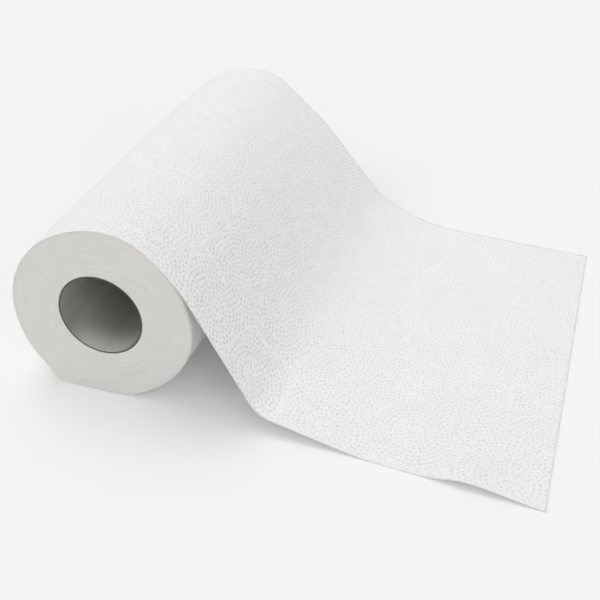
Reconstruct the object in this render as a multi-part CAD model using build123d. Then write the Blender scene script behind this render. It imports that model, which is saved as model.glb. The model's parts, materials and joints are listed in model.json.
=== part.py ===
from build123d import *
import os
from math import cos, radians, sin, tan

# Paper towel roll with its last sheets pulled off and lying on the table.
# Millimetres. The origin is the middle of the core's bore, +Y runs along the
# bore, +Z is up, and the free sheet leaves over the top towards +X.

# Roll
sheet_width = 225.0          # width of the paper, and so the length of the roll
roll_radius = 44.6           # over the outermost turn
axis_height = 43.9           # lower than the radius: the soft roll lies on a flat
paper_thickness = 0.5        # two embossed plies

# The soft roll sags. Each pair is an angle round the roll, up from +X and
# anticlockwise, and how far the paper there stands out beyond roll_radius.
# From 240 to 280 degrees it would reach under the table, so it lies flat.
# Each arc of the outline goes through three of these points.
sag = [(150, -0.4), (168, 0.4), (190, 1.4), (206, 2.2), (220, 3.1), (232, 4.2),
       (245, 6.0), (260, 3.9), (275, 1.6), (290, 0.8), (310, 0.8), (328, 1.0),
       (345, 0.9), (360, 0.3), (375, -0.7)]

# Core
core_bore_radius = 20.3
core_wall = 0.8              # two plies of grey board wound in a spiral

# Turns that show on the end faces
turn_pitch = 3.3             # one groove stands for six or seven turns of paper
turn_groove_width = 0.45
turn_groove_depth = 0.35
turn_margin = 1.2            # plain paper left beside the core and the rim

# Free sheet, set a little askew to the roll
take_off_angle = 52.0        # where the outermost turn leaves, up from +X
sheet_yaw = 4.7              # the sheet runs off the roll towards -Y by this much
near_reach = 180.9           # from the take-off to the near corner, along the floor
far_reach = near_reach + sheet_width * tan(radians(sheet_yaw))

# Each edge of the free sheet runs straight off the roll, turns down at the
# knee, bends just above the table and then lies down on it.
near_knee_run, far_knee_run = 13.9, 30.0
near_steep_angle, far_steep_angle = 57.6, 47.1
near_bend_height, far_bend_height = 8.4, 14.8
near_lie_angle, far_lie_angle = 9.6, 26.0
near_radii = [75.0, 20.0, 120.0]
far_radii = [130.0, 36.0, 96.0]

core_radius = core_bore_radius + core_wall
half_width = sheet_width / 2
end_planes = [
    Plane((0, -half_width, 0), x_dir=(1, 0, 0), z_dir=(0, -1, 0)),
    Plane((0, half_width, 0), x_dir=(1, 0, 0), z_dir=(0, -1, 0)),
]


def half_turns(first_radius, growth, count):
    """Spiral of tangent half circles, each one wider than the last."""
    arcs = []
    start_x = first_radius
    side = 1
    for turn in range(count):
        radius = first_radius + turn * growth
        middle_x = start_x - side * radius
        end_x = middle_x - side * radius
        arcs.append(ThreePointArc((start_x, 0), (middle_x, side * radius), (end_x, 0)))
        start_x = end_x
        side = -side
    return Curve() + arcs


def sagged_part():
    """Section of the lower part of the roll, where it sags on the table."""
    points = []
    for angle, stands_out in sag:
        reach = roll_radius + stands_out
        points.append((reach * cos(radians(angle)), reach * sin(radians(angle))))
    arcs = [ThreePointArc(*points[first:first + 3]) for first in range(0, len(points) - 1, 2)]
    return make_face(Curve() + arcs + Polyline(points[-1], (0, 0), points[0]))


def roll_outline():
    """Section of the roll: one turn of spiral with its step at the take-off."""
    step = paper_thickness / 2
    turn = half_turns(roll_radius - step, step / 2, 2)
    close = Line(turn @ 1, turn @ 0)
    spiral = make_face(turn + close)
    # The turn is drawn anticlockwise, and the paper winds on clockwise
    spiral = mirror(spiral, about=Plane.XZ)
    spiral = Rot(0, 0, take_off_angle) * spiral
    room = 3 * roll_radius
    above_table = Pos(0, room / 2 - axis_height) * Rectangle(room, room)
    return (spiral + sagged_part()) & above_table


def turn_grooves(plane, direction):
    """Spiral groove that shows the turns on one end face."""
    first_radius = core_radius + turn_margin
    room = roll_radius - paper_thickness - turn_margin - first_radius
    count = int(2 * room / turn_pitch)
    groove = trace(half_turns(first_radius, turn_pitch / 2, count), turn_groove_width)
    return extrude(plane * groove, amount=direction * turn_groove_depth)


def sheet_section(side_y, knee_run, steep_angle, bend_height, lie_angle, reach, radii):
    """Section of the free sheet at one of its edges."""
    angle = radians(take_off_angle)
    inner_radius = roll_radius - paper_thickness
    take_off = Vector(inner_radius * cos(angle), side_y, inner_radius * sin(angle))
    yaw = radians(sheet_yaw)
    plane = Plane(take_off, x_dir=(cos(yaw), -sin(yaw), 0), z_dir=(-sin(yaw), -cos(yaw), 0))
    floor = -axis_height - take_off.Z
    knee = Vector(knee_run * sin(angle), -knee_run * cos(angle))
    bend_y = floor + bend_height
    bend = Vector(knee.X + (knee.Y - bend_y) / tan(radians(steep_angle)), bend_y)
    touch = Vector(bend.X + bend_height / tan(radians(lie_angle)), floor)
    underside = FilletPolyline((0, 0), knee, bend, touch, (reach, floor), radius=radii)
    outline = offset(underside, amount=paper_thickness, side=Side.LEFT)
    return plane * make_face(outline)


def make_paper():
    """Wound turns and free sheet, one web of paper."""
    roll = extrude(end_planes[1] * roll_outline(), amount=sheet_width)
    roll -= extrude(end_planes[1] * Circle(core_radius), amount=sheet_width)
    roll -= turn_grooves(end_planes[0], -1)
    roll -= turn_grooves(end_planes[1], 1)
    near = sheet_section(-half_width, near_knee_run, near_steep_angle, near_bend_height,
                         near_lie_angle, near_reach, near_radii)
    far = sheet_section(half_width, far_knee_run, far_steep_angle, far_bend_height,
                        far_lie_angle, far_reach, far_radii)
    sheet = loft([near, far], ruled=True)
    return roll + sheet


def make_core():
    """Cardboard tube that the paper is wound on."""
    ring = Circle(core_radius) - Circle(core_bore_radius)
    return extrude(end_planes[1] * ring, amount=sheet_width)


os.makedirs("parts", exist_ok=True)
export_step(make_paper(), "parts/paper_web.step")
export_step(make_core(), "parts/core_tube.step")
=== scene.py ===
import json
from math import atan2, ceil, cos, pi, radians, sin, tan

import bmesh
import bpy
from mathutils import Matrix, Vector, noise


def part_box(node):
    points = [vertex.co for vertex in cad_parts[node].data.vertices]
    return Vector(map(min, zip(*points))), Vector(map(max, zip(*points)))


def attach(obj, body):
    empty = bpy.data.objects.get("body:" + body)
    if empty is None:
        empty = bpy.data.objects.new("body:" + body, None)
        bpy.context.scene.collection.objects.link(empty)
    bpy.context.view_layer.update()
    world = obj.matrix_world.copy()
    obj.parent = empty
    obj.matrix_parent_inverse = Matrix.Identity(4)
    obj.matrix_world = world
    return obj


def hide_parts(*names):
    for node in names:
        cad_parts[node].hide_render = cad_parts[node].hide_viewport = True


# A paper towel roll on its core, with its free end pulled off over the top and lying on the
# table. Metres. The roll's axis is Y, the free sheet runs towards +X, and the table is below.

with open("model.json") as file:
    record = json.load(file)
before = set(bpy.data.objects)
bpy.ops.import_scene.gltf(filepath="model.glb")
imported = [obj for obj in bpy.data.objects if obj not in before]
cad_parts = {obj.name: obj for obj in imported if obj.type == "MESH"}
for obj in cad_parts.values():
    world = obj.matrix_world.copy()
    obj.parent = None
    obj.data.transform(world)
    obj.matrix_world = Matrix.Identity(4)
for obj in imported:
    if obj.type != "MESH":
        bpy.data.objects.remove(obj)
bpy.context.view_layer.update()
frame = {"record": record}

MM = 0.001
bore = next(mount for mount in frame["record"]["mounts"] if mount["name"] == "core_bore")
CORE_BORE_RADIUS = bore["dims"]["r_mm"] * MM
SHEET_WIDTH = bore["dims"]["length_mm"] * MM
HALF_WIDTH = SHEET_WIDTH / 2
TABLE_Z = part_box("paper_web")[0].z
CORE_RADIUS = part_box("core_tube")[1].z

# The roll
ROLL_RADIUS = 44.6 * MM
PAPER_THICKNESS = 0.5 * MM
TAKE_OFF_ANGLE = radians(52.0)
ROLL_SEGMENTS = 192
SQUASHED_DEPTH = 9.0 * MM
FLAT_SPOT_SOFTNESS = 3.0 * MM

# The soft rim at both ends, where the outer turns fall back and in
RIM_WIDTH = 3.0 * MM
RIM_FALLS_BACK = 0.5 * MM
RIM_LENGTH = 3.0 * MM
RIM_FALLS_IN = 0.3 * MM
RIM_STARTS = radians(30.0)

# The roll sags on the table. Each table below holds an angle round the roll in degrees, up
# from +X, and how far the paper there stands out, in millimetres.
SAG = [(150, -0.4), (168, 0.4), (190, 1.4), (206, 2.2), (220, 3.1), (232, 4.2), (245, 6.0),
       (260, 3.9), (275, 1.6), (290, 0.8), (310, 0.8), (328, 1.0), (345, 0.9), (360, 0.3),
       (375, -0.7)]
# Where the roll lies flat, its rim is pressed square
FLAT_START, FLAT_STOP, FLAT_FADE = radians(238), radians(288), radians(14)
# Close to the table, the weight of the roll presses its ends out, away from its middle
RIM_BULGE = [(195, 0.0), (225, 0.4), (250, 1.0), (270, 1.3), (288, 0.8), (310, 0.0)]
BULGE_DEPTH = 14.0 * MM

# The turns are looser or tighter at the roll's ends, and loose between them beside the sheet
LOOSE_AT_ENDS = [(52, 0.0), (70, 1.1), (90, 0.3), (112, -0.7), (140, -0.6), (156, 0.0),
                 (212, -0.1), (228, -0.6), (242, -1.1), (256, -0.6), (268, 0.0), (275, 0.0),
                 (290, -0.6), (330, -0.7), (350, -0.5), (375, 0.0)]
LOOSE_BETWEEN = [(285, 0.0), (310, 0.6), (334, 1.0), (355, 0.6), (375, 0.0)]
END_LENGTH = 45.0 * MM
END_STATIONS = 5

# The cut edges of the turns on the end faces: every other ring stands back, and all wander
TURN_GAP_DEPTH = 0.10 * MM
TURN_WANDER = 0.10 * MM
TURN_WANDER_SCALE = 60

# The free sheet: each edge turns down at the knee, bends above the table and lies down on it
SHEET_YAW = radians(4.7)
NEAR_REACH = 180.9 * MM
FAR_REACH = NEAR_REACH + SHEET_WIDTH * tan(SHEET_YAW)
NEAR_EDGE = {"knee_run": 13.9 * MM, "steep": radians(57.6), "bend_height": 8.4 * MM,
             "lie": radians(9.6), "reach": NEAR_REACH, "radii": (75 * MM, 15 * MM, 120 * MM)}
FAR_EDGE = {"knee_run": 30.0 * MM, "steep": radians(47.1), "bend_height": 14.8 * MM,
            "lie": radians(26.0), "reach": FAR_REACH, "radii": (130 * MM, 36 * MM, 96 * MM)}
# Halfway between its edges the sheet bends more gently
NEAR_SOFT_RADII = (75 * MM, 60 * MM, 120 * MM)
FAR_SOFT_RADII = (130 * MM, 60 * MM, 96 * MM)

# The low ripple that lifts the near edge off the table close to the free corner
RIPPLE_START = 126.0 * MM
RIPPLE_CREST = 147.0 * MM
RIPPLE_END = 184.0 * MM
RIPPLE_HEIGHT = 3.5 * MM
RIPPLE_DEPTH = 30.0 * MM

# The sheet's grid. Its start is tucked under the place where it leaves the roll.
TUCK_ANGLE = radians(6.0)
ROW_LENGTH = 1.4 * MM
COLUMNS = 56
EVEN_SHARE = 0.35
LIES_FLAT_FROM_X = 100.0 * MM

# The core
CORE_SEGMENTS = 144
CORE_EDGE_ROUND = 0.15 * MM
CORE_EDGE_BREAKS = 0.12 * MM
CORE_EDGE_SCALE = 400


def rounded_path(corners, radii, arc_step=radians(2.0)):
    """Points along straight lines whose corners are rounded to the given radii."""
    points = [Vector(corners[0])]
    for before, corner, after, radius in zip(corners, corners[1:], corners[2:], radii):
        corner = Vector(corner)
        back = (Vector(before) - corner).normalized()
        onward = (Vector(after) - corner).normalized()
        half = back.angle(onward) / 2
        middle = corner + (back + onward).normalized() * radius / sin(half)
        arc_start = corner + back * radius / tan(half)
        left_turn = onward.x * back.y - onward.y * back.x > 0
        sweep = (pi - 2 * half) * (1 if left_turn else -1)
        steps = ceil(abs(sweep) / arc_step)
        for step in range(steps + 1):
            turned = Matrix.Rotation(sweep * step / steps, 2) @ (arc_start - middle)
            points.append(middle + turned)
    points.append(Vector(corners[-1]))
    return points


def path_length(points):
    return sum((b - a).length for a, b in zip(points, points[1:]))


def point_along(points, share):
    """The point at a share of the path's length."""
    left = share * path_length(points)
    for a, b in zip(points, points[1:]):
        step = (b - a).length
        if left <= step:
            return a.lerp(b, left / step)
        left -= step
    return points[-1].copy()


def edge_path(knee_run, steep, bend_height, lie, reach, radii):
    """The underside of one edge of the free sheet, as reach from the take-off and height."""
    inner_radius = ROLL_RADIUS - PAPER_THICKNESS
    start = Vector((0, inner_radius * sin(TAKE_OFF_ANGLE)))
    knee = start + Vector((sin(TAKE_OFF_ANGLE), -cos(TAKE_OFF_ANGLE))) * knee_run
    bend_z = TABLE_Z + bend_height
    bend = Vector((knee.x + (knee.y - bend_z) / tan(steep), bend_z))
    touch = Vector((bend.x + bend_height / tan(lie), TABLE_Z))
    return rounded_path([start, knee, bend, touch, Vector((reach, TABLE_Z))], radii)


def smooth_step(low, high, value):
    share = min(1, max(0, (value - low) / (high - low)))
    return share * share * (3 - 2 * share)


def stands_out(table, angle, otherwise=0.0):
    """How far the paper stands out here, on a smooth curve through the table."""
    degrees = (angle / pi * 180) % 360
    if degrees < table[-1][0] - 360:
        degrees += 360
    if not table[0][0] <= degrees <= table[-1][0]:
        return otherwise
    place = max(index for index, (start, _) in enumerate(table[:-1]) if start <= degrees)
    near = [table[min(max(place + step, 0), len(table) - 1)] for step in (-1, 0, 1, 2)]
    (a0, h0), (a1, h1), (a2, h2), (a3, h3) = near
    slope1 = (h2 - h0) / (a2 - a0)
    slope2 = (h3 - h1) / (a3 - a1)
    width = a2 - a1
    share = (degrees - a1) / width
    square, cube = share ** 2, share ** 3
    return MM * ((2 * cube - 3 * square + 1) * h1 + (cube - 2 * square + share) * width * slope1
                 + (3 * square - 2 * cube) * h2 + (cube - square) * width * slope2)


def looseness(angle, y):
    """How much looser than an even roll the turns are here."""
    inward = smooth_step(0, END_LENGTH, HALF_WIDTH - abs(y))
    at_ends = stands_out(LOOSE_AT_ENDS, angle)
    return at_ends + (stands_out(LOOSE_BETWEEN, angle) - at_ends) * inward


def clear_of_table(angle):
    """One where the roll's side is free, falling to 0 where it lies on the table."""
    angle = angle % (2 * pi)
    lies = smooth_step(FLAT_START - FLAT_FADE, FLAT_START, angle)
    lies *= 1 - smooth_step(FLAT_STOP, FLAT_STOP + FLAT_FADE, angle)
    return 1 - lies


def place_in_roll(radius, wound, layers_out, y):
    """Where a point of the wound paper lies once the roll has sagged: its radius in a round
    roll, the angle that the paper is wound on from the take-off, the layers outside it, and
    its place along the roll. Gives x and z."""
    angle = wound + TAKE_OFF_ANGLE
    outer = ROLL_RADIUS - PAPER_THICKNESS * (layers_out + wound / (2 * pi))
    sag = stands_out(SAG, angle, otherwise=-MM) + PAPER_THICKNESS * wound / (2 * pi)
    moved = max(0, sag) + looseness(angle, y)
    depth = max(0, (radius - CORE_RADIUS) / (outer - CORE_RADIUS))
    radius += moved * depth ** 2
    outer += moved
    x = radius * cos(angle)
    z = radius * sin(angle)
    flat_z = TABLE_Z + layers_out * PAPER_THICKNESS
    rim_z = outer * sin(angle)
    lift = smooth_maximum(rim_z, flat_z, FLAT_SPOT_SOFTNESS) - rim_z
    return x, z + lift * smooth_step(outer - SQUASHED_DEPTH, outer, radius)


def smooth_maximum(value, floor, softness):
    """The larger of the two, with a rounded change from one to the other."""
    over = value - floor
    if abs(over) < softness:
        return floor + (over + softness) ** 2 / (4 * softness)
    return max(value, floor)


def near_edge(distance, length):
    """One at an edge, falling smoothly to 0 at this length from it."""
    return max(0, 1 - distance / length) ** 2


def finished_object(name, bm):
    """Turns a bmesh into a piece, smooth all over, that rides with the roll."""
    mesh = bpy.data.meshes.new(name)
    bm.to_mesh(mesh)
    bm.free()
    for polygon in mesh.polygons:
        polygon.use_smooth = True
    piece = bpy.data.objects.new(name, mesh)
    bpy.context.scene.collection.objects.link(piece)
    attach(piece, "root")
    return piece


def make_wound_turns():
    """The turns under the outermost one. Each turn's cut edge is a ridge on both end faces."""
    bm = bmesh.new()
    ring_of = bm.verts.layers.int.new("ring")
    turns_out = ROLL_RADIUS - PAPER_THICKNESS
    ring_step = PAPER_THICKNESS / 2
    rings = 2 * int((turns_out - CORE_RADIUS) / PAPER_THICKNESS) + 4
    half_profile = [(ring, HALF_WIDTH) for ring in range(rings + 1)]
    for station in range(1, END_STATIONS + 1):
        half_profile.append((rings, HALF_WIDTH - END_LENGTH * station / END_STATIONS))
    stations = [(ring, -y) for ring, y in half_profile] + half_profile[::-1]
    profile = []
    for ring, y in stations:
        radius = turns_out - (rings - ring) * ring_step
        vert = bm.verts.new((radius * cos(TAKE_OFF_ANGLE), y, radius * sin(TAKE_OFF_ANGLE)))
        vert[ring_of] = ring
        profile.append(vert)
    edges = [bm.edges.new(pair) for pair in zip(profile, profile[1:] + profile[:1])]
    spun = bmesh.ops.spin(bm, geom=profile + edges, cent=(0, 0, 0), axis=(0, -1, 0), dvec=(0, 0, 0),
                          angle=2 * pi, steps=ROLL_SEGMENTS, use_merge=False, use_duplicate=False)
    last = {item for item in spun["geom_last"] if isinstance(item, bmesh.types.BMVert)}
    for vert in bm.verts:
        wound = (atan2(vert.co.z, vert.co.x) - TAKE_OFF_ANGLE) % (2 * pi)
        if vert in last:
            wound = 2 * pi
        elif wound > 2 * pi - 0.5 * pi / ROLL_SEGMENTS:
            wound = 0
        ring = vert[ring_of]
        y = vert.co.y
        side = -1 if y < 0 else 1
        radius = turns_out - (rings - ring) * ring_step - PAPER_THICKNESS * wound / (2 * pi)
        if abs(y) < HALF_WIDTH - MM:
            x, z = place_in_roll(radius, wound, 1, y)
            vert.co = (x, y, z)
            continue
        if radius > CORE_RADIUS:
            paper_out = radius * (pi * ring - wound)
            wander = noise.noise(Vector((paper_out * TURN_WANDER_SCALE, ring % 2 * 3, side * 7)))
            inset = (TURN_GAP_DEPTH if ring % 2 else 0) + TURN_WANDER * (wander + 0.5)
        else:
            radius = CORE_RADIUS
            inset = TURN_GAP_DEPTH
        rim = near_edge(ROLL_RADIUS - radius, RIM_WIDTH) * clear_of_table(wound + TAKE_OFF_ANGLE)
        inset += RIM_FALLS_BACK * rim
        bulge = near_edge(ROLL_RADIUS - radius, BULGE_DEPTH)
        inset -= stands_out(RIM_BULGE, wound + TAKE_OFF_ANGLE) * bulge
        x, z = place_in_roll(radius - RIM_FALLS_IN * rim, wound, 1, HALF_WIDTH)
        vert.co = (x, side * (HALF_WIDTH - inset), z)
    bmesh.ops.remove_doubles(bm, verts=bm.verts[:], dist=0.001 * MM)
    bmesh.ops.holes_fill(bm, edges=[edge for edge in bm.edges if edge.is_boundary], sides=0)
    bmesh.ops.recalc_face_normals(bm, faces=bm.faces[:])
    return finished_object("wound_turns", bm)


def spread_columns(share):
    """Sets the columns of the sheet's grid closer together towards its edges."""
    return EVEN_SHARE * share + (1 - EVEN_SHARE) * (0.5 - 0.5 * cos(pi * share))


def ripple(reach, from_near_edge):
    """How far the sheet is lifted off the table here."""
    rise = smooth_step(RIPPLE_START, RIPPLE_CREST, reach)
    fall = 1 - smooth_step(RIPPLE_CREST, RIPPLE_END, reach)
    return RIPPLE_HEIGHT * rise * fall * (1 - smooth_step(0, RIPPLE_DEPTH, from_near_edge))


def place_on_roll(across, wound):
    """A point of the outermost turn's inner side, wound on this far from the take-off."""
    y = (across - 0.5) * SHEET_WIDTH
    rim = near_edge(HALF_WIDTH - abs(y), RIM_LENGTH) * smooth_step(0, RIM_STARTS, wound)
    rim *= clear_of_table(wound + TAKE_OFF_ANGLE)
    radius = ROLL_RADIUS - PAPER_THICKNESS * (1 + wound / (2 * pi)) - RIM_FALLS_IN * rim
    x, z = place_in_roll(radius, wound, 1, y)
    bulge = near_edge(HALF_WIDTH - abs(y), BULGE_DEPTH)
    outward = stands_out(RIM_BULGE, wound + TAKE_OFF_ANGLE) * bulge - RIM_FALLS_BACK * rim
    return Vector((x, y + (1 if y > 0 else -1) * outward, z))


def between_paths(across, share, near_path, far_path):
    """The point at this share of both paths, on the line from the near one to the far one."""
    edges = []
    for side, path in ((-1, near_path), (1, far_path)):
        reach, z = point_along(path, share)
        x = (ROLL_RADIUS - PAPER_THICKNESS) * cos(TAKE_OFF_ANGLE) + reach * cos(SHEET_YAW)
        edges.append(Vector((x, side * HALF_WIDTH - reach * sin(SHEET_YAW), z)))
    return edges[0].lerp(edges[1], across)


def place_free(across, share, edge_paths, soft_paths):
    """A point of the free sheet's underside."""
    place = between_paths(across, share, *edge_paths)
    softened = between_paths(across, share, *soft_paths)
    place = place.lerp(softened, 4 * across * (1 - across))
    reach = point_along(edge_paths[0], share).x
    place.z += ripple(reach, across * SHEET_WIDTH)
    return place


def make_sheet():
    """The outermost turn and the free sheet, one web of paper."""
    edge_paths = (edge_path(**NEAR_EDGE), edge_path(**FAR_EDGE))
    soft_paths = (edge_path(**{**NEAR_EDGE, "radii": NEAR_SOFT_RADII}),
                  edge_path(**{**FAR_EDGE, "radii": FAR_SOFT_RADII}))
    free_length = sum(path_length(path) for path in edge_paths) / 2
    turn_length = 2 * pi * ROLL_RADIUS
    wound_length = turn_length + TUCK_ANGLE * ROLL_RADIUS
    length = wound_length + free_length
    rows = round(length / ROW_LENGTH)
    bm = bmesh.new()
    uv_layer = bm.loops.layers.uv.new("paper")
    bmesh.ops.create_grid(bm, x_segments=COLUMNS, y_segments=rows, size=0.5)
    flat = {vert: (spread_columns(vert.co.x + 0.5), vert.co.y + 0.5) for vert in bm.verts}
    for face in bm.faces:
        for loop in face.loops:
            across, along = flat[loop.vert]
            loop[uv_layer].uv = (across * SHEET_WIDTH, along * length)
    for vert, (across, along) in flat.items():
        distance = along * length
        if distance < wound_length:
            vert.co = place_on_roll(across, (wound_length - distance) / ROLL_RADIUS)
        else:
            share = (distance - wound_length) / free_length
            vert.co = place_free(across, min(1, share), edge_paths, soft_paths)
    bm.normal_update()
    flat_faces = [face for face in bm.faces if face.calc_center_median().x > LIES_FLAT_FROM_X]
    if sum(face.normal.z for face in flat_faces) < 0:
        bmesh.ops.reverse_faces(bm, faces=bm.faces[:])
    piece = finished_object("towel_sheet", bm)
    thickness = piece.modifiers.new("thickness", "SOLIDIFY")
    thickness.thickness = PAPER_THICKNESS
    thickness.offset = 1
    thickness.use_even_offset = True
    thickness.material_offset_rim = 1
    return piece


def make_core():
    """The cardboard tube, with its cut ends a little broken."""
    bm = bmesh.new()
    soft = CORE_EDGE_ROUND
    stations = [(CORE_BORE_RADIUS, -HALF_WIDTH + soft), (CORE_BORE_RADIUS + soft, -HALF_WIDTH),
                (CORE_RADIUS - soft, -HALF_WIDTH), (CORE_RADIUS, -HALF_WIDTH + soft)]
    stations += [(radius, -y) for radius, y in reversed(stations)]
    profile = [bm.verts.new((radius, y, 0)) for radius, y in stations]
    edges = [bm.edges.new(pair) for pair in zip(profile, profile[1:] + profile[:1])]
    bmesh.ops.spin(bm, geom=profile + edges, cent=(0, 0, 0), axis=(0, -1, 0), dvec=(0, 0, 0),
                   angle=2 * pi, steps=CORE_SEGMENTS, use_merge=True, use_duplicate=False)
    for vert in bm.verts:
        if HALF_WIDTH - abs(vert.co.y) < 0.5 * soft:
            rough = noise.noise(vert.co * CORE_EDGE_SCALE)
            vert.co.y -= (1 if vert.co.y > 0 else -1) * CORE_EDGE_BREAKS * (rough + 0.5)
    bmesh.ops.recalc_face_normals(bm, faces=bm.faces[:])
    for face in bm.faces:
        face.material_index = 1 if abs(face.normal.y) > 0.5 else 0
    piece = finished_object("core", bm)
    for polygon in piece.data.polygons:
        polygon.use_smooth = polygon.material_index == 0
    return piece


class Nodes:
    """Short forms for a material's nodes."""

    def __init__(self, name):
        self.material = bpy.data.materials.new(name)
        self.material.use_nodes = True
        self.tree = self.material.node_tree
        self.shader = self.tree.nodes["Principled BSDF"]

    def add(self, kind, inputs=(), **settings):
        node = self.tree.nodes.new(kind)
        for key, value in settings.items():
            setattr(node, key, value)
        for key, value in dict(inputs).items():
            self.set(node.inputs[key], value)
        return node

    def set(self, socket, value):
        if isinstance(value, bpy.types.NodeSocket):
            self.tree.links.new(value, socket)
        else:
            socket.default_value = value

    def maths(self, operation, first, second=0.0, third=0.0):
        node = self.add("ShaderNodeMath", operation=operation)
        self.set(node.inputs[0], first)
        self.set(node.inputs[1], second)
        self.set(node.inputs[2], third)
        return node.outputs[0]

    def vector(self, operation, first, second=(0, 0, 0), scale=1.0):
        node = self.add("ShaderNodeVectorMath", operation=operation)
        self.set(node.inputs[0], first)
        self.set(node.inputs[1], second)
        if operation == "SCALE":
            self.set(node.inputs["Scale"], scale)
        return node.outputs["Value" if operation in ("LENGTH", "DOT_PRODUCT") else "Vector"]

    def between(self, value, low, high, to_low, to_high):
        node = self.add("ShaderNodeMapRange", interpolation_type="SMOOTHSTEP")
        for key, number in (("Value", value), ("From Min", low), ("From Max", high),
                            ("To Min", to_low), ("To Max", to_high)):
            self.set(node.inputs[key], number)
        return node.outputs["Result"]

    def noise(self, vector, scale, detail=2.0, roughness=0.5):
        node = self.add("ShaderNodeTexNoise", {"Vector": vector, "Scale": scale, "Detail": detail,
                                               "Roughness": roughness})
        return node.outputs["Fac"]

    def blend(self, factor, first, second):
        node = self.add("ShaderNodeMix", data_type="RGBA")
        self.set(node.inputs["Factor"], factor)
        self.set(node.inputs["A"], first)
        self.set(node.inputs["B"], second)
        return node.outputs["Result"]

    def bump(self, height, distance, normal=None):
        node = self.add("ShaderNodeBump", {"Height": height, "Distance": distance, "Strength": 1.0})
        if normal is not None:
            self.set(node.inputs["Normal"], normal)
        return node.outputs["Normal"]


# Embossing: rings of dots round scattered middles. Lengths are millimetres on the paper.
RING_CELL = 44.0
CELL_SCATTER = 0.6
RING_PITCH = 2.45
RINGS_MOVED_IN = 0.1         # of a pitch, so that the first ring is small
RING_TURN = 0.37             # of a circle, from one ring's first dot to the next one's
BARE_BORDER = (0.3, 1.0)     # from where two middles' rings meet, where the dots fade in
SPARSE_REACH = 9.0
SPARSE_FADE = 4.0
SPARSE_LOSS = 0.4
DOT_PITCH = 2.65
DOT_RADIUS = 0.75
DIMPLE_RADIUS = 1.35
DOT_DEPTH = 0.22 * MM
DIMPLE_DEPTH = 0.20 * MM
# How much painted shade darkens the dots, standing in for the shade in their dimples
DOT_PAINTED_SHADE = 0.48
RINGS_STRAY = 2.4            # as far as the rings may stray from a circle

# How much deeper the dots are where the sheet hangs, how much more painted shade darkens them
# there, standing in for the light that grazes the hanging sheet, and where that begins and ends, in
# millimetres along the paper
HANGING_DEPTH = 0.9
HANGING_PAINTED_SHADE = 0.30
HANGING_STARTS = (278.0, 318.0)
HANGING_ENDS = (348.0, 384.0)

# The outermost turn, from its start to this far along the paper, is greyed near its edges with
# painted shade for the shade under the free sheet, and its dots are smoothed there
UNDER_SHEET_ENDS = (65.0, 110.0)
PAINTED_EDGE_SHADE_REACH = 12.0
SMOOTHED_DOTS_REACH = 24.0
MOST_AT_EDGES = 0.9

# Bumps of the paper between the dots, from the widest to the finest
PUFF_DEPTH = 0.7 * MM
CREPE_DEPTH = 0.45 * MM
FIBRE_DEPTH = 0.13 * MM

# How much the streaks of the cut turns change per radian round the roll
TURN_STREAKS = 2.2

# The finishes. Noise blends the two colours of a pair.
TOWEL_COLOURS = (0.852, 0.853, 0.873, 1), (0.880, 0.881, 0.898, 1)
# Painted shade for the shade in the dots' dimples
PAINTED_DOT_SHADE_COLOUR = (0.725, 0.725, 0.74, 1)
# Painted shade on the outermost turn's edges under the free sheet
PAINTED_EDGE_SHADE_COLOUR = (0.72, 0.71, 0.685, 1)
CUT_EDGE_COLOURS = (0.68, 0.675, 0.66, 1), (0.74, 0.735, 0.72, 1)
TURN_COLOURS = (0.645, 0.640, 0.628, 1), (0.755, 0.750, 0.737, 1)
TURN_MOTTLE_COLOUR = (0.63, 0.625, 0.607, 1)
BOARD_COLOURS = (0.205, 0.205, 0.192, 1), (0.260, 0.260, 0.247, 1)
BOARD_JOINT_COLOUR = (0.15, 0.146, 0.135, 1)
# Painted light low in the core near its mouths
CORE_PAINTED_LIGHT_COLOUR = (0.50, 0.50, 0.495, 1)
BOARD_CUT_COLOURS = (0.10, 0.083, 0.066, 1), (0.16, 0.14, 0.115, 1)
# Dark brown near the board's faces; at the outer face it is painted shade of the crease against the
# paper
BOARD_FACE_AND_PAINTED_CREASE_SHADE_COLOUR = (0.035, 0.027, 0.018, 1)


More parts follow.
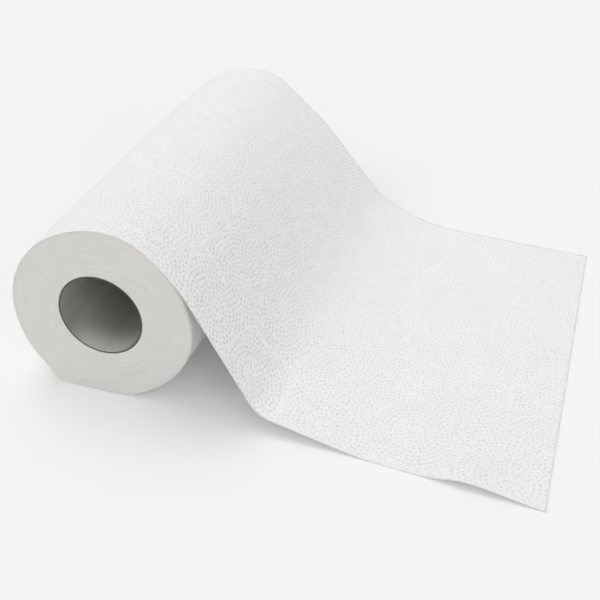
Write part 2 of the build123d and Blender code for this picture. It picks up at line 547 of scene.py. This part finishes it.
def away_from_dots(nodes, paper_mm):
    """How far each place is from the nearest dot, and how well the dots are pressed there.
    The dots stand on rings round scattered middles. Close to a middle every other ring is
    faint, and there are none where the rings of two middles meet."""
    scaled = nodes.vector("SCALE", paper_mm, scale=1 / RING_CELL)
    layout = {"Vector": scaled, "Scale": 1.0, "Randomness": CELL_SCATTER}
    cells = nodes.add("ShaderNodeTexVoronoi", layout, voronoi_dimensions="2D", feature="F1")
    borders = nodes.add("ShaderNodeTexVoronoi", layout, voronoi_dimensions="2D",
                        feature="DISTANCE_TO_EDGE")
    offset = nodes.vector("SUBTRACT", scaled, cells.outputs["Position"])
    offset = nodes.vector("SCALE", offset, scale=RING_CELL)
    split = nodes.add("ShaderNodeSeparateXYZ", {"Vector": offset})
    radius = nodes.vector("LENGTH", offset)
    pitches = nodes.maths("DIVIDE", radius, RING_PITCH)
    ring = nodes.maths("FLOOR", nodes.maths("ADD", pitches, RINGS_MOVED_IN))
    ring_middle = nodes.maths("ADD", ring, 0.5 - RINGS_MOVED_IN)
    ring_radius = nodes.maths("MULTIPLY", ring_middle, RING_PITCH)
    count = nodes.maths("ROUND", nodes.maths("MULTIPLY", ring_radius, 2 * pi / DOT_PITCH))
    angle = nodes.maths("ARCTAN2", split.outputs["Y"], split.outputs["X"])
    first_dot = nodes.maths("MULTIPLY", ring, RING_TURN)
    turn = nodes.maths("ADD", nodes.maths("DIVIDE", angle, 2 * pi), first_dot)
    place = nodes.maths("FRACT", nodes.maths("MULTIPLY", turn, count))
    spacing = nodes.maths("DIVIDE", nodes.maths("MULTIPLY", ring_radius, 2 * pi), count)
    along = nodes.maths("MULTIPLY", nodes.maths("SUBTRACT", place, 0.5), spacing)
    outward = nodes.maths("SUBTRACT", radius, ring_radius)
    away = nodes.maths("SQRT", nodes.maths("ADD", nodes.maths("MULTIPLY", along, along),
                                           nodes.maths("MULTIPLY", outward, outward)))
    odd = nodes.maths("MULTIPLY", nodes.maths("FRACT", nodes.maths("DIVIDE", ring, 2.0)), 2.0)
    sparse = nodes.between(ring_radius, SPARSE_REACH - SPARSE_FADE, SPARSE_REACH + SPARSE_FADE,
                           SPARSE_LOSS, 0.0)
    pressed = nodes.maths("SUBTRACT", 1.0, nodes.maths("MULTIPLY", odd, sparse))
    border = nodes.maths("MULTIPLY", borders.outputs["Distance"], RING_CELL)
    pressed = nodes.maths("MULTIPLY", pressed, nodes.between(border, *BARE_BORDER, 0.0, 1.0))
    return away, pressed


def edges_under_sheet(nodes, paper_mm, reach):
    """Where the outermost turn, under the free sheet, is greyed with painted shade and smoothed
    near its edges.
    """
    place = nodes.add("ShaderNodeSeparateXYZ", {"Vector": paper_mm})
    across = nodes.maths("SUBTRACT", place.outputs["X"], HALF_WIDTH / MM)
    inward = nodes.maths("SUBTRACT", HALF_WIDTH / MM, nodes.maths("ABSOLUTE", across))
    edge_share = nodes.between(inward, 0.3 * reach, reach, MOST_AT_EDGES, 0.0)
    hidden = nodes.between(place.outputs["Y"], *UNDER_SHEET_ENDS, 1.0, 0.0)
    return nodes.maths("MULTIPLY", edge_share, hidden)


def hanging(nodes, paper_mm):
    """One where the free sheet hangs steeply from the roll, falling to 0 on both sides."""
    place = nodes.add("ShaderNodeSeparateXYZ", {"Vector": paper_mm})
    starts = nodes.between(place.outputs["Y"], *HANGING_STARTS, 0.0, 1.0)
    ends = nodes.between(place.outputs["Y"], *HANGING_ENDS, 1.0, 0.0)
    return nodes.maths("MULTIPLY", starts, ends)


def towel_material():
    """White two-ply towel, embossed with dots. They are deepest where the sheet hangs freely,
    and flatter where it lies. Painted shade darkens the dots, most where the sheet hangs, and
    greys the outermost turn near its edges under the free sheet."""
    nodes = Nodes("white_towel")
    uv = nodes.add("ShaderNodeUVMap", uv_map="paper").outputs["UV"]
    paper_mm = nodes.vector("SCALE", uv, scale=1 / MM)
    wander = nodes.add("ShaderNodeTexNoise", {"Vector": paper_mm, "Scale": 0.10, "Detail": 3.0})
    wander = nodes.vector("SUBTRACT", wander.outputs["Color"], (0.5, 0.5, 0.5))
    wander = nodes.vector("SCALE", wander, scale=RINGS_STRAY)
    dotted_mm = nodes.vector("ADD", paper_mm, wander)
    away, pressed = away_from_dots(nodes, dotted_mm)
    pressed_well = nodes.between(nodes.noise(paper_mm, 0.16, 2.0), 0.35, 0.65, 0.7, 1.0)
    pressed = nodes.maths("MULTIPLY", pressed, pressed_well)
    smooth = nodes.maths("SUBTRACT", 1.0, edges_under_sheet(nodes, paper_mm, SMOOTHED_DOTS_REACH))
    pressed = nodes.maths("MULTIPLY", pressed, smooth)
    dots = nodes.between(away, DOT_RADIUS * 0.2, DOT_RADIUS, pressed, 0.0)
    dimples = nodes.between(away, 0.0, DIMPLE_RADIUS, pressed, 0.0)
    hangs = hanging(nodes, paper_mm)
    depth = nodes.maths("MULTIPLY_ADD", hangs, -HANGING_DEPTH, -1.0)
    painted_shade = nodes.maths("MULTIPLY_ADD", hangs, HANGING_PAINTED_SHADE, DOT_PAINTED_SHADE)
    crepe = nodes.noise(paper_mm, 0.75, 3.0, 0.6)
    fibres = nodes.noise(paper_mm, 2.2, 3.0, 0.65)
    puff = nodes.noise(paper_mm, 0.10, 2.0)
    clouds = nodes.noise(paper_mm, 0.03, 2.0)
    colour = nodes.blend(clouds, *TOWEL_COLOURS)
    # Painted shade: the dots are darkened, more where the sheet hangs, standing in for the shade in
    # their dimples
    colour = nodes.blend(nodes.maths("MULTIPLY", dots, painted_shade), colour, PAINTED_DOT_SHADE_COLOUR)
    # Painted shade greys the outermost turn near its edges, where it lies under the free sheet
    colour = nodes.blend(edges_under_sheet(nodes, paper_mm, PAINTED_EDGE_SHADE_REACH), colour, PAINTED_EDGE_SHADE_COLOUR)
    nodes.set(nodes.shader.inputs["Base Color"], colour)
    set_paper(nodes)
    normal = nodes.bump(puff, PUFF_DEPTH)
    normal = nodes.bump(crepe, CREPE_DEPTH, normal=normal)
    normal = nodes.bump(fibres, FIBRE_DEPTH, normal=normal)
    normal = nodes.bump(nodes.maths("MULTIPLY", dimples, depth), DIMPLE_DEPTH, normal=normal)
    normal = nodes.bump(nodes.maths("MULTIPLY", dots, depth), DOT_DEPTH, normal=normal)
    nodes.set(nodes.shader.inputs["Normal"], normal)
    return nodes.material


def towel_edge_material():
    """The cut edge of the towel, soft with fibres."""
    nodes = Nodes("towel_edge")
    place = nodes.add("ShaderNodeTexCoord").outputs["Object"]
    fibres = nodes.noise(nodes.vector("SCALE", place, scale=1 / MM), 1.5, 3.0, 0.6)
    nodes.set(nodes.shader.inputs["Base Color"], nodes.blend(fibres, *CUT_EDGE_COLOURS))
    set_paper(nodes)
    nodes.set(nodes.shader.inputs["Normal"], nodes.bump(fibres, 0.10 * MM))
    return nodes.material


def set_paper(nodes):
    """Matt thin paper that lets some light through."""
    nodes.set(nodes.shader.inputs["Roughness"], 0.95)
    nodes.set(nodes.shader.inputs["Specular IOR Level"], 0.15)
    nodes.set(nodes.shader.inputs["Subsurface Weight"], 1.0)
    nodes.set(nodes.shader.inputs["Subsurface Radius"], (1.0, 1.0, 1.0))
    nodes.set(nodes.shader.inputs["Subsurface Scale"], 0.15 * MM)


def turns_material():
    """The cut edges of the turns: faint rings in a fibrous, warmer grey."""
    nodes = Nodes("cut_turns")
    place = nodes.add("ShaderNodeTexCoord").outputs["Object"]
    place_mm = nodes.vector("SCALE", place, scale=1 / MM)
    split = nodes.add("ShaderNodeSeparateXYZ", {"Vector": place_mm})
    across = nodes.maths("MULTIPLY", split.outputs["X"], split.outputs["X"])
    upward = nodes.maths("MULTIPLY", split.outputs["Z"], split.outputs["Z"])
    radius = nodes.maths("SQRT", nodes.maths("ADD", across, upward))
    angle = nodes.maths("ARCTAN2", split.outputs["Z"], split.outputs["X"])
    round_the_roll = nodes.maths("MULTIPLY", angle, TURN_STREAKS)
    which_end = nodes.maths("SIGN", split.outputs["Y"])
    polar = nodes.add("ShaderNodeCombineXYZ", {"X": radius, "Y": round_the_roll, "Z": which_end})
    rings = nodes.noise(polar.outputs[0], 1.6, 3.0, 0.6)
    mottle = nodes.noise(place_mm, 0.10, 3.0, 0.6)
    fibres = nodes.noise(place_mm, 1.2, 4.0, 0.7)
    colour = nodes.blend(rings, *TURN_COLOURS)
    colour = nodes.blend(nodes.maths("MULTIPLY", mottle, 0.45), colour, TURN_MOTTLE_COLOUR)
    nodes.set(nodes.shader.inputs["Base Color"], colour)
    nodes.set(nodes.shader.inputs["Roughness"], 1.0)
    nodes.set(nodes.shader.inputs["Specular IOR Level"], 0.1)
    edges = nodes.bump(rings, 0.15 * MM)
    nodes.set(nodes.shader.inputs["Normal"], nodes.bump(fibres, 0.25 * MM, normal=edges))
    return nodes.material


# The board's strips are wound with this lead, in millimetres, and meet in a faint joint. Painted
# light makes the board paler low in the core, below these heights, and this far in from its mouths.
BOARD_LEAD = 70.0
BOARD_JOINT = 0.008          # of a lead
CORE_PAINTED_LIGHT_TOP = (-20.0, -10.0)
CORE_PAINTED_LIGHT_REACH = 20.0


def core_board_material():
    """Grey board, with the joint of its strips, and painted light low in the core at its mouths."""
    nodes = Nodes("grey_board")
    place = nodes.add("ShaderNodeTexCoord").outputs["Object"]
    place_mm = nodes.vector("SCALE", place, scale=1 / MM)
    split = nodes.add("ShaderNodeSeparateXYZ", {"Vector": place_mm})
    angle = nodes.maths("ARCTAN2", split.outputs["Z"], split.outputs["X"])
    lead = nodes.maths("ADD", nodes.maths("DIVIDE", split.outputs["Y"], BOARD_LEAD),
                       nodes.maths("DIVIDE", angle, 2 * pi))
    strip = nodes.maths("ABSOLUTE", nodes.maths("SUBTRACT", nodes.maths("FRACT", lead), 0.5))
    joint = nodes.between(strip, 0.0, BOARD_JOINT, 1.0, 0.0)
    fibres = nodes.noise(place_mm, 0.9, 4.0, 0.65)
    colour = nodes.blend(fibres, *BOARD_COLOURS)
    colour = nodes.blend(nodes.maths("MULTIPLY", joint, 0.10), colour, BOARD_JOINT_COLOUR)
    # Painted light: the board is paler low in the core near its mouths, where light falls in
    inward = nodes.maths("SUBTRACT", HALF_WIDTH / MM, nodes.maths("ABSOLUTE", split.outputs["Y"]))
    low = nodes.between(split.outputs["Z"], *CORE_PAINTED_LIGHT_TOP, 0.9, 0.0)
    painted_light = nodes.maths("MULTIPLY", low, nodes.between(inward, 0.0, CORE_PAINTED_LIGHT_REACH, 1.0, 0.0))
    colour = nodes.blend(painted_light, colour, CORE_PAINTED_LIGHT_COLOUR)
    nodes.set(nodes.shader.inputs["Base Color"], colour)
    nodes.set(nodes.shader.inputs["Roughness"], 0.85)
    groove = nodes.bump(joint, -0.05 * MM)
    nodes.set(nodes.shader.inputs["Normal"], nodes.bump(fibres, 0.12 * MM, normal=groove))
    return nodes.material


def core_edge_material():
    """The cut edge of the board: brown at both faces, paler between its two plies. At its outer
    face the brown is painted shade of the crease between the paper and the core.
    """
    nodes = Nodes("board_edge")
    place = nodes.add("ShaderNodeTexCoord").outputs["Object"]
    place_mm = nodes.vector("SCALE", place, scale=1 / MM)
    fibres = nodes.noise(place_mm, 2.0, 3.0, 0.6)
    radius = nodes.vector("LENGTH", nodes.vector("MULTIPLY", place_mm, (1, 0, 1)))
    middle = (CORE_BORE_RADIUS + CORE_RADIUS) / 2 / MM
    wall = (CORE_RADIUS - CORE_BORE_RADIUS) / MM
    from_middle = nodes.maths("ABSOLUTE", nodes.maths("SUBTRACT", radius, middle))
    # Dark near both faces; at the outer face this is painted shade of the crease between the paper
    # and the core
    faces = nodes.between(from_middle, 0.10 * wall, 0.38 * wall, 0.0, 1.0)
    board = nodes.blend(fibres, *BOARD_CUT_COLOURS)
    nodes.set(nodes.shader.inputs["Base Color"], nodes.blend(faces, board, BOARD_FACE_AND_PAINTED_CREASE_SHADE_COLOUR))
    nodes.set(nodes.shader.inputs["Roughness"], 0.9)
    nodes.set(nodes.shader.inputs["Normal"], nodes.bump(fibres, 0.2 * MM))
    return nodes.material


# The photograph's frame: its size, the point that the lens looks at and the focal length,
# all in pixels, and where the camera stands
FRAME_PIXELS = 600.0
LENS_CENTRE = (270.0, 270.0)
FOCAL_PIXELS = 869.8
SENSOR_MM = 36.0
CAMERA_PLACE = Vector((0.1642, -0.4053, 0.2324))
CAMERA_AZIMUTH = radians(15.905)
CAMERA_ELEVATION = radians(32.11)
CAMERA_ROLL = radians(1.5)

# The table, how much of its paleness only the camera sees, and the sky
TABLE_TONE = 0.905
TABLE_GLOW = 0.12
TABLE_HALF_SIZE = 6.0
TABLE_GAP = 0.05 * MM
SKY_STRENGTH = 0.55
SKY_COLOUR = (1, 0.992, 0.96, 1)

# The lamps: strength, how wide each looks, where its light goes and its colour
LAMPS = {"softbox_above": (0.96, radians(40), Vector((0.30, -0.22, -0.93)), (0.99, 1, 1.05)),
         "softbox_left": (0.27, radians(30), Vector((0.55, 0.55, -0.63)), (1, 1, 1.02)),
         "low_fill": (0.88, radians(60), Vector((-0.45, 0.78, -0.43)), (1, 0.985, 0.955))}


def make_camera():
    data = bpy.data.cameras.new("camera")
    camera = bpy.data.objects.new("camera", data)
    bpy.context.scene.collection.objects.link(camera)
    bpy.context.scene.camera = camera
    azimuth, elevation = CAMERA_AZIMUTH, CAMERA_ELEVATION
    back = Vector((sin(azimuth) * cos(elevation), -cos(azimuth) * cos(elevation), sin(elevation)))
    level = Vector((cos(azimuth), sin(azimuth), 0))
    upright = back.cross(level)
    right = level * cos(CAMERA_ROLL) + upright * sin(CAMERA_ROLL)
    up = upright * cos(CAMERA_ROLL) - level * sin(CAMERA_ROLL)
    turn = Matrix((right, up, back)).transposed()
    camera.matrix_world = Matrix.Translation(CAMERA_PLACE) @ turn.to_4x4()
    data.sensor_width = SENSOR_MM
    data.lens = FOCAL_PIXELS / FRAME_PIXELS * SENSOR_MM
    data.shift_x = (FRAME_PIXELS / 2 - LENS_CENTRE[0]) / FRAME_PIXELS
    data.shift_y = (LENS_CENTRE[1] - FRAME_PIXELS / 2) / FRAME_PIXELS
    data.clip_start = 0.01


def make_light():
    world = bpy.data.worlds.new("studio")
    bpy.context.scene.world = world
    world.use_nodes = True
    tree = world.node_tree
    background = tree.nodes["Background"]
    background.inputs["Color"].default_value = SKY_COLOUR
    seen = tree.nodes.new("ShaderNodeLightPath").outputs["Is Camera Ray"]
    sky = tree.nodes.new("ShaderNodeMapRange")
    sky.inputs["To Min"].default_value = SKY_STRENGTH
    sky.inputs["To Max"].default_value = TABLE_TONE
    tree.links.new(seen, sky.inputs["Value"])
    tree.links.new(sky.outputs["Result"], background.inputs["Strength"])
    for name, (strength, width, towards, colour) in LAMPS.items():
        lamp = bpy.data.lights.new(name, "SUN")
        lamp.energy = strength
        lamp.angle = width
        lamp.color = colour
        sun = bpy.data.objects.new(name, lamp)
        sun.rotation_mode = "QUATERNION"
        sun.rotation_quaternion = towards.to_track_quat("-Z", "Y")
        bpy.context.scene.collection.objects.link(sun)
    bpy.context.scene.view_settings.view_transform = "Standard"


def make_table():
    """The pale table. Part of its paleness is seen only by the camera, so that shadows on it
    stay light, as on a studio sweep."""
    bm = bmesh.new()
    bmesh.ops.create_grid(bm, x_segments=1, y_segments=1, size=TABLE_HALF_SIZE)
    bmesh.ops.translate(bm, verts=bm.verts[:], vec=(0, 0, TABLE_Z - TABLE_GAP))
    mesh = bpy.data.meshes.new("table")
    bm.to_mesh(mesh)
    bm.free()
    table = bpy.data.objects.new("table", mesh)
    bpy.context.scene.collection.objects.link(table)
    nodes = Nodes("pale_table")
    nodes.set(nodes.shader.inputs["Base Color"], (TABLE_TONE, TABLE_TONE, TABLE_TONE, 1))
    nodes.set(nodes.shader.inputs["Roughness"], 1.0)
    nodes.set(nodes.shader.inputs["Specular IOR Level"], 0.0)
    glow = nodes.add("ShaderNodeEmission", {"Color": (TABLE_TONE, TABLE_TONE, TABLE_TONE, 1)})
    seen = nodes.add("ShaderNodeLightPath").outputs["Is Camera Ray"]
    mixed = nodes.add("ShaderNodeMixShader", {"Fac": nodes.maths("MULTIPLY", seen, TABLE_GLOW)})
    nodes.tree.links.new(nodes.shader.outputs[0], mixed.inputs[1])
    nodes.tree.links.new(glow.outputs[0], mixed.inputs[2])
    nodes.tree.links.new(mixed.outputs[0], nodes.tree.nodes["Material Output"].inputs["Surface"])
    mesh.materials.append(nodes.material)


make_camera()
make_light()
make_table()

wound_turns = make_wound_turns()
wound_turns.data.materials.append(turns_material())
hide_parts("paper_web")

towel_sheet = make_sheet()
towel_sheet.data.materials.append(towel_material())
towel_sheet.data.materials.append(towel_edge_material())
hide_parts("paper_web")

core = make_core()
core.data.materials.append(core_board_material())
core.data.materials.append(core_edge_material())
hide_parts("core_tube")
